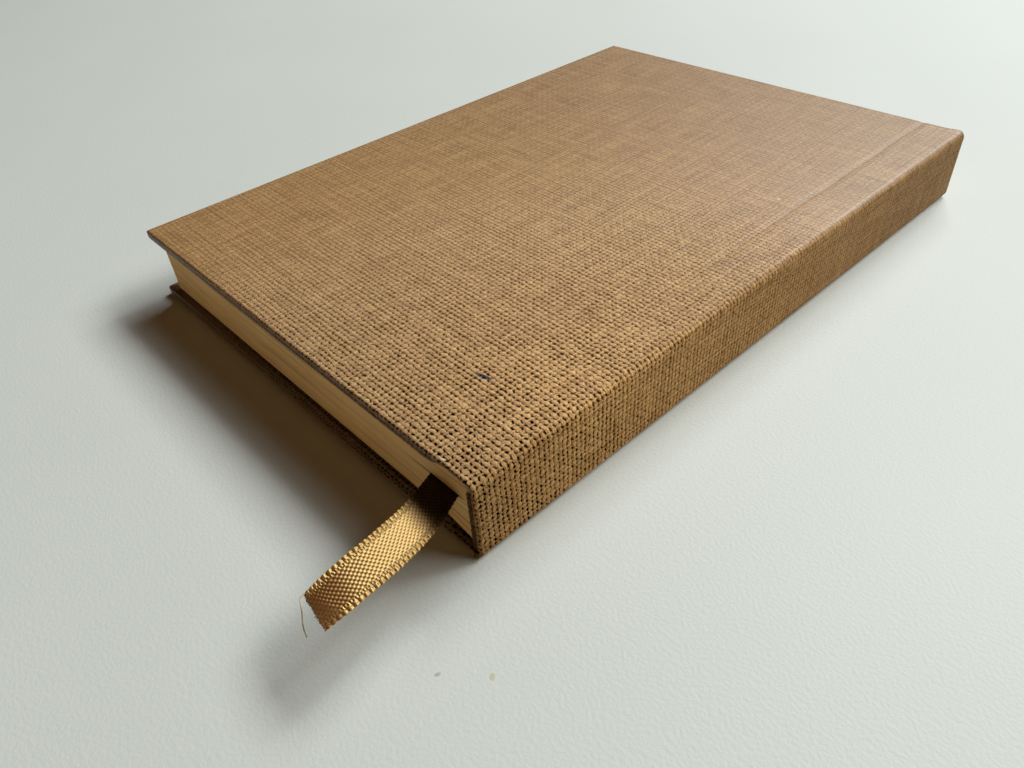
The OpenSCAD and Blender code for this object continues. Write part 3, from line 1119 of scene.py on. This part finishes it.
def satin_cells(tree, place):
    """Height of the floats of the field: 1 on a crown, -1 where the filaments dive."""
    cell = {"Vector": place, "Rotation": (0, 0, CELL_SLANT), "Scale": (CELL_ROW, CELL_L, 1)}
    turned = add(tree, "Mapping", cell, vector_type="TEXTURE")
    turned = add(tree, "SeparateXYZ", [turned]).node.outputs
    rows = wave(tree, turned[0], math.pi)
    crowns = add(tree, "Math", [rows, wave(tree, turned[1], 2 * math.pi)], operation="MULTIPLY")
    ridge = add(tree, "Math", [rows], operation="ABSOLUTE")
    ridge = add(tree, "Math", [ridge, 0.4], operation="MULTIPLY")
    return crowns, add(tree, "Math", [crowns, ridge])


def ribbon_finish():
    """Brown satin: the field, the loops, the beads, the painted shadow near the pages and the fuzzy cut
    end.
    """
    finish, tree = new_finish("polyester_satin")
    place = add(tree, "UVMap", uv_map="UVMap")
    parts = add(tree, "SeparateXYZ", [place]).node.outputs
    away = add(tree, "Math", [parts[0]], operation="ABSOLUTE")
    crowns, height = satin_cells(tree, place)
    colour = two_tones(tree, crowns, (-0.9, -0.1), RIBBON_PAINTED_SHADE, RIBBON_COLOUR)
    loops_at = add(tree, "Math", [parts[1], 4 * math.pi / BEAD_PITCH], operation="MULTIPLY")
    loops = wave(tree, add(tree, "Math", [loops_at, parts[0]]), 1.0)
    loops_start = RIBBON_W / 2 - BEAD_W - LOOPS_W
    on_loops = add(tree, "MapRange", [away, loops_start, loops_start + 0.1, 0, 1])
    loop_colour = two_tones(tree, loops, (-0.6, 0.6), RIBBON_PAINTED_SHADE, RIBBON_COLOUR)
    colour = add(tree, "Mix", {0: on_loops, 6: colour, 7: loop_colour}, data_type="RGBA").node.outputs[2]
    height = add(tree, "Mix", {0: on_loops, 2: height, 3: loops})
    beads = wave(tree, parts[1], 2 * math.pi / BEAD_PITCH)
    beads_start = RIBBON_W / 2 - BEAD_W
    on_beads = add(tree, "MapRange", [away, beads_start - 0.04, beads_start + 0.06, 0, 1])
    bead_colour = two_tones(tree, beads, (-0.7, -0.1), RIBBON_PAINTED_SHADE, BEAD_COLOUR)
    colour = add(tree, "Mix", {0: on_beads, 6: colour, 7: bead_colour}, data_type="RGBA").node.outputs[2]
    turns = noise(tree, place, (1.2, 9, 1), 2.0)
    bead_height = add(tree, "Math", [turns, beads])
    height = add(tree, "Mix", {0: on_beads, 2: height, 3: bead_height})
    # Painted shadow: colour and gloss are turned down where the tape leaves the pages
    painted_shadow_range = [flat_y[0] - RIBBON_PLACE[1] + reach for reach in PAINTED_SHADOW_RAMP]
    out_of_painted_shadow = add(tree, "MapRange", [parts[1], *painted_shadow_range, PAINTED_SHADOW_LEAST, 1], interpolation_type="SMOOTHSTEP")
    colour = add(tree, "Mix", {0: 1.0, 6: colour, 7: out_of_painted_shadow}, data_type="RGBA", blend_type="MULTIPLY")
    colour = colour.node.outputs[2]
    gloss = add(tree, "MapRange", [crowns, -0.8, 0.0, 0.35, 1.0])
    gloss = add(tree, "Math", [gloss, out_of_painted_shadow], operation="MULTIPLY")
    at_cut = add(tree, "Math", [parts[0], FUZZ_SLANT, parts[1]], operation="MULTIPLY_ADD")
    fuzz_range = (ribbon_along[-1] - FUZZ_L, ribbon_along[-1] - FUZZ_L / 2)
    at_cut = add(tree, "MapRange", [at_cut, *fuzz_range, 0, 1])
    streaks = noise(tree, place, (11, 0.9, 1), 2.0)
    fuzz = two_tones(tree, streaks, (0.35, 0.65), "#45190a", "#7a4519")
    colour = add(tree, "Mix", {0: at_cut, 6: colour, 7: fuzz}, data_type="RGBA").node.outputs[2]
    height = add(tree, "Mix", {0: at_cut, 2: height, 3: streaks})
    bump = add(tree, "Bump", {"Height": height, "Distance": 0.045 * MM, "Strength": 1.0})
    shader = add(
        tree,
        "BsdfPrincipled",
        {
            "Base Color": colour,
            "Roughness": 0.6,
            "IOR": 3.0,
            "Normal": bump,
            "Specular IOR Level": gloss,
            "Specular Tint": linear("#ffde95"),
            "Anisotropic": 0.6,
            "Tangent": add(tree, "Tangent", direction_type="UV_MAP", uv_map="UVMap"),
        },
    )
    add(tree, "OutputMaterial", [shader])
    return finish


def thread_finish(name, dark, light):
    """A loose polyester thread, a little uneven in tone."""
    finish, tree = new_finish(name)
    place = add(tree, "TexCoord").node.outputs["Object"]
    tone = noise(tree, place, (1500, 1500, 1500), 1.0)
    colour = two_tones(tree, tone, (0.35, 0.65), dark, light)
    shader = add(tree, "BsdfPrincipled", {"Base Color": colour, "Roughness": 0.5})
    add(tree, "OutputMaterial", [shader])
    return finish


give(ribbon_finish(), ribbon)
give(thread_finish("brown_polyester_ends", "#5a3416", "#8a5c2c"), fray)
give(thread_finish("pale_polyester_thread", "#e6c492", "#fff0d0"), loose_thread)

# %% [markdown]
# The pages are cream, uncoated book paper. Cut in one stroke, their edges run together to an even
# face, on which only a few leaves stand apart; the gaps there are painted as fine dark lines of shade.
# The glued endpapers show the faint cloudiness of pulp.

# %% The finishes of the papers
def page_finish():
    """The cut edges of the leaves, with the few that stand apart."""
    finish, tree = new_finish("cream_uncoated_paper")
    leaves = add(tree, "UVMap", uv_map="UVMap")
    lines = noise(tree, leaves, (0.012, 1.0, 1), 1.0)
    apart = noise(tree, leaves, (0.02, 0.75, 1), 0.0)
    cloud = noise(tree, leaves, (0.08, 0.06, 1), 1.0)
    tone = add(tree, "Math", [add(tree, "MapRange", [lines, 0.3, 0.7, 0.3, 0.7]), cloud])
    colour = two_tones(tree, tone, (0.7, 1.3), "#dcb67a", "#ecca90")
    # Painted shade: fine dark lines in the gaps where a few leaves stand apart
    apart = add(tree, "MapRange", [apart, 0.27, 0.33, 0.6, 0])
    colour = add(tree, "Mix", {0: apart, 6: colour, 7: linear("#4a3015")}, data_type="RGBA")
    colour = colour.node.outputs[2]
    bump = add(tree, "Bump", {"Height": lines, "Distance": 0.05 * MM, "Strength": 0.5})
    shader = add(tree, "BsdfPrincipled", {"Base Color": colour, "Roughness": 0.85, "Normal": bump})
    add(tree, "OutputMaterial", [shader])
    return finish


def paper_finish(name, dark, light, grain_mm):
    """Paper or board with a grain of a given size."""
    finish, tree = new_finish(name)
    place = add(tree, "TexCoord").node.outputs["Object"]
    scale = 1 / (grain_mm * MM)
    pulp = noise(tree, place, (scale, scale, scale), 3.0)
    cloud = noise(tree, place, (90, 90, 90), 2.0)
    tone = add(tree, "Math", [pulp, cloud])
    colour = two_tones(tree, tone, (0.7, 1.3), dark, light)
    bump = add(tree, "Bump", {"Height": pulp, "Distance": 0.03 * MM, "Strength": 0.6})
    shader = add(tree, "BsdfPrincipled", {"Base Color": colour, "Roughness": 0.88, "Normal": bump})
    add(tree, "OutputMaterial", [shader])
    return finish


give(page_finish(), page_block)
endpaper = paper_finish("cream_endpaper", "#dccda3", "#eadfbd", 0.4)
give(endpaper, *pastedowns.values())
give(endpaper, *(bpy.data.objects[side + "_flyleaf_paper"] for side in ("back", "front")))
nodes = frame["nodes"]
grey_board = paper_finish("grey_binder_board", "#7d7668", "#9b9485", 0.5)
give(grey_board, nodes["back_board"], nodes["front_board"], nodes["spine_board"])
give(paper_finish("glued_mull_lining", "#c9bc9f", "#e2d8c0", 0.9), nodes["spine_lining"])

# %% [markdown]
# The book lies on a pale, slightly glossy table with a fine leather grain. A long row of windows stands
# behind it, from a little left of it to far on the right. Such a light is wide, so the narrow ribbon
# casts hardly any shadow, and it isn't high, so the long edge of the book casts a clear one. A little
# warm light comes back low from the wall behind the camera, and lights the pages.

# %% The table
FLOOR_DARK = "#cccfc9"
FLOOR_LIGHT = "#d2d5cf"
# Small marks on the table: place and half size in metres, turn, and colour
MARKS = {
    "grey_scuff": ((0.0621, -0.0908), (0.0005, 0.0003), 1.2, "#b0b1ad"),
    "yellow_drop": ((0.0674, -0.0860), (0.0006, 0.0004), 2.2, "#c4c0a2"),
}


def floor_finish():
    """The table's pale laminate, with its grain and two small marks."""
    finish, tree = new_finish("pale_laminate")
    place = add(tree, "TexCoord").node.outputs["Object"]
    grain = noise(tree, place, (1700, 1700, 1700), 2.0)
    cloud = noise(tree, place, (14, 14, 14), 2.0)
    colours = {0: cloud, 6: linear(FLOOR_DARK), 7: linear(FLOOR_LIGHT)}
    colour = add(tree, "Mix", colours, data_type="RGBA").node.outputs[2]
    for spot_place, size, turn, hex_colour in MARKS.values():
        colour = spot(tree, colour, place, spot_place, size, turn, hex_colour)
    bump = add(tree, "Bump", {"Height": grain, "Distance": 0.12 * MM, "Strength": 0.42})
    shader = add(
        tree,
        "BsdfPrincipled",
        {"Base Color": colour, "Roughness": 0.55, "Normal": bump, "Specular IOR Level": 0.35},
    )
    add(tree, "OutputMaterial", [shader])
    return finish


bpy.ops.object.select_all(action="DESELECT")
bpy.ops.mesh.primitive_plane_add(size=6, location=(0, 0, 0))
table = bpy.context.object
table.name = "table_top"
give(floor_finish(), table)

# %% The light
# The way to each window and how far it is, its width and height, watts and colour
LAMP_AIM = Vector((0.02, -0.05, 0))
LAMPS = {
    "left_window": ((-0.186, 0.695, 0.695), 1.8, (0.70, 0.58), 13.5, "#f7fbfd"),
    "middle_window": ((0.137, 0.706, 0.695), 1.8, (0.96, 0.58), 21.8, "#f6feff"),
    "right_window": ((0.472, 0.543, 0.695), 1.8, (1.0, 0.58), 13.0, "#f9f9f6"),
    "warm_wall": ((0.35, -0.925, 0.14), 2.0, (2.4, 0.5), 4.8, "#ffdba4"),
}
for name, (way, far, size, watts, colour) in LAMPS.items():
    way = Vector(way).normalized()
    bpy.ops.object.light_add(type="AREA", location=LAMP_AIM + way * far)
    lamp = bpy.context.object
    lamp.name = name
    lamp.rotation_euler = way.to_track_quat("Z", "Y").to_euler()
    lamp.data.shape = "RECTANGLE"
    lamp.data.size, lamp.data.size_y = size
    lamp.data.energy = watts
    lamp.data.color = linear(colour)[:3]

world = bpy.data.worlds.new("room_light")
bpy.context.scene.world = world
world.use_nodes = True
world.node_tree.nodes.clear()
ways = add(world.node_tree, "LightPath").node.outputs
room = add(world.node_tree, "Background", [linear("#ffa860"), 0.03])
backdrop = add(world.node_tree, "Background", [linear("#dfe3e2"), 0.9])
sky = add(world.node_tree, "MixShader", [ways["Is Camera Ray"], room, backdrop])
add(world.node_tree, "OutputWorld", [sky])
